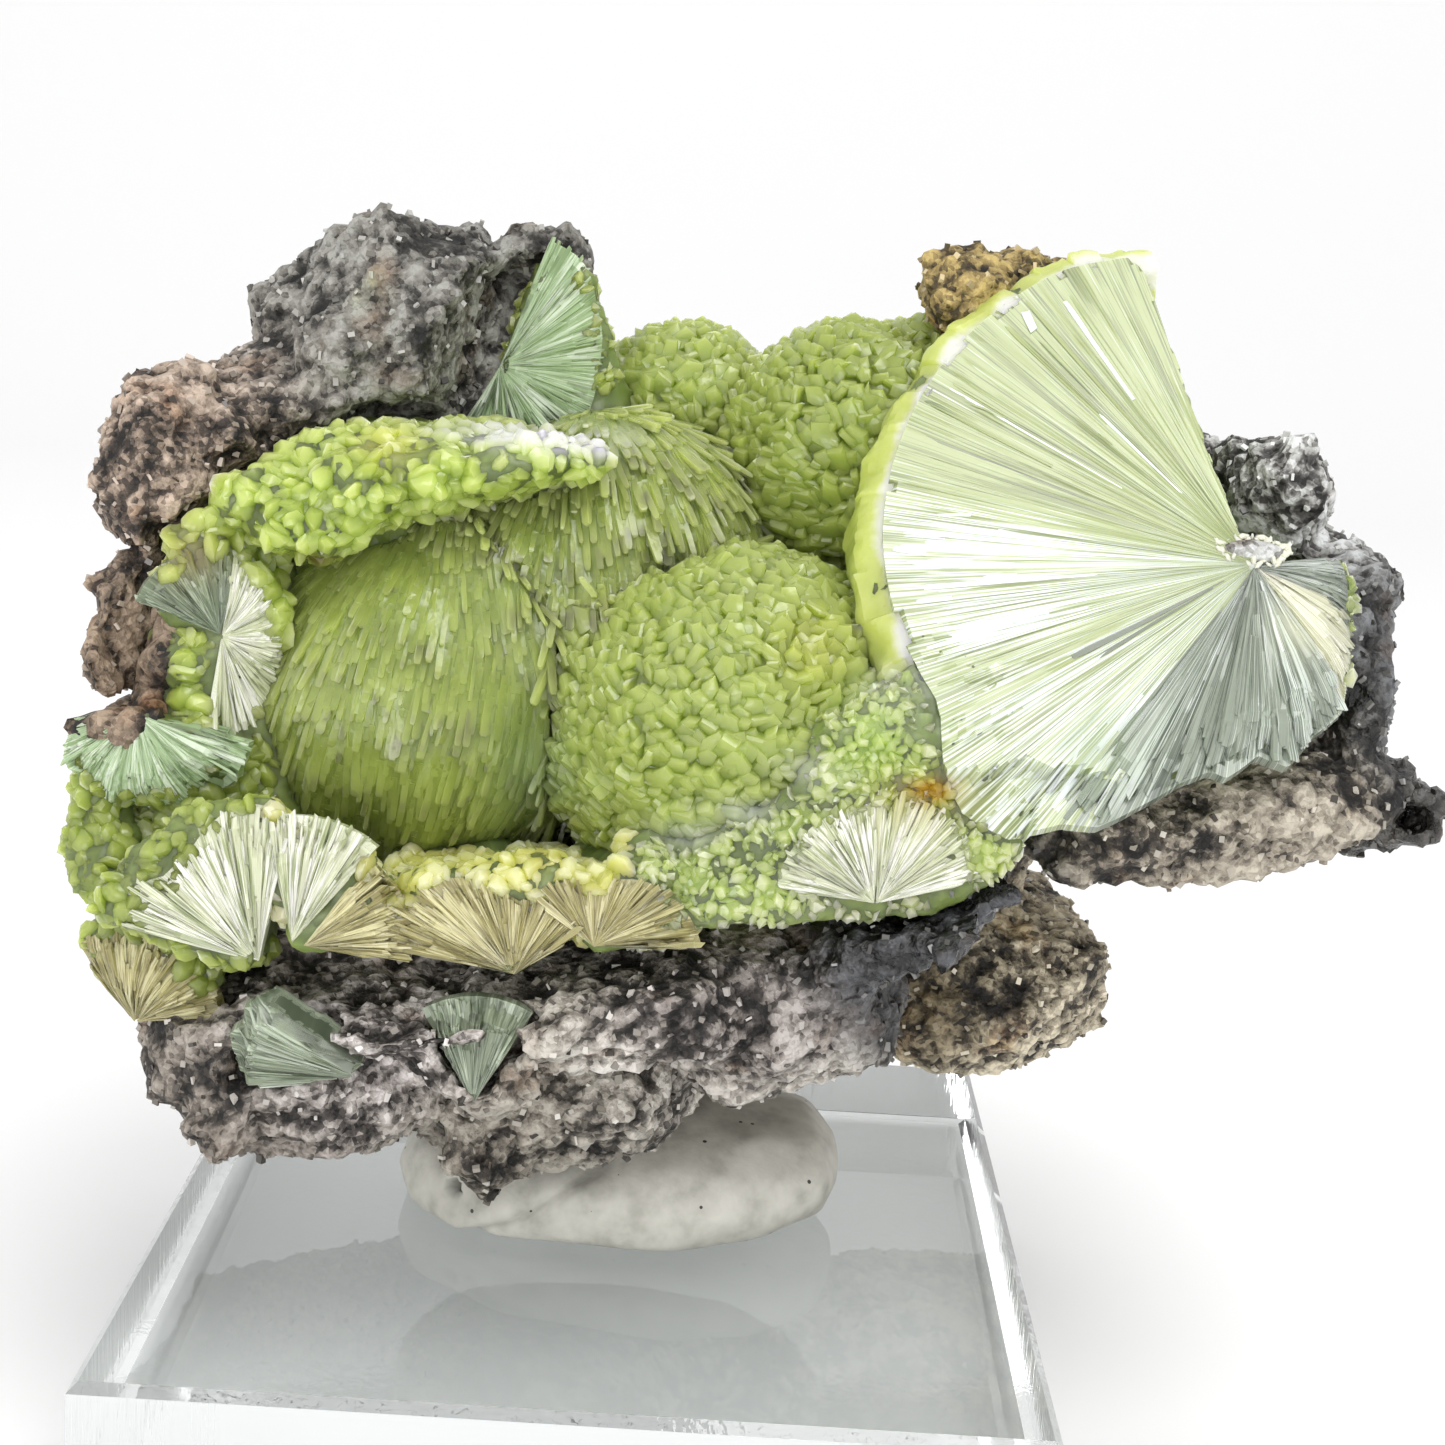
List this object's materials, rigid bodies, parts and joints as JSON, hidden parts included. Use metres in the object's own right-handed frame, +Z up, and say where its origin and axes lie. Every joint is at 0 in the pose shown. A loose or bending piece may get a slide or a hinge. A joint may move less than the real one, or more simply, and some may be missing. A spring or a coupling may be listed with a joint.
{
  "type": "wavellite specimen",
  "caption": "Wavellite specimen: green radiating crystal balls and cut fans in a pocket of grey rock, set in putty on a clear acrylic base.",
  "frame": {"origin": "middle of the acrylic base's underside", "axes": "+Z up, the open pocket faces -Y, +X to the right of someone who looks into it"},
  "size_m": [0.062, 0.04, 0.0564],
  "materials": {
    "rock": "rough, broken",
    "wavellite": "silky, translucent",
    "pale_wavellite": "silky",
    "putty": "matte",
    "clear_acrylic": "clear, saw-cut sides"
  },
  "bodies": {
    "root": {"matrix_rock": "rock", "wavellite_crust": "wavellite", "lower_spray": "pale_wavellite", "left_spray": "pale_wavellite", "putty": "putty", "acrylic_base": "clear_acrylic"}
  },
  "joints": []
}
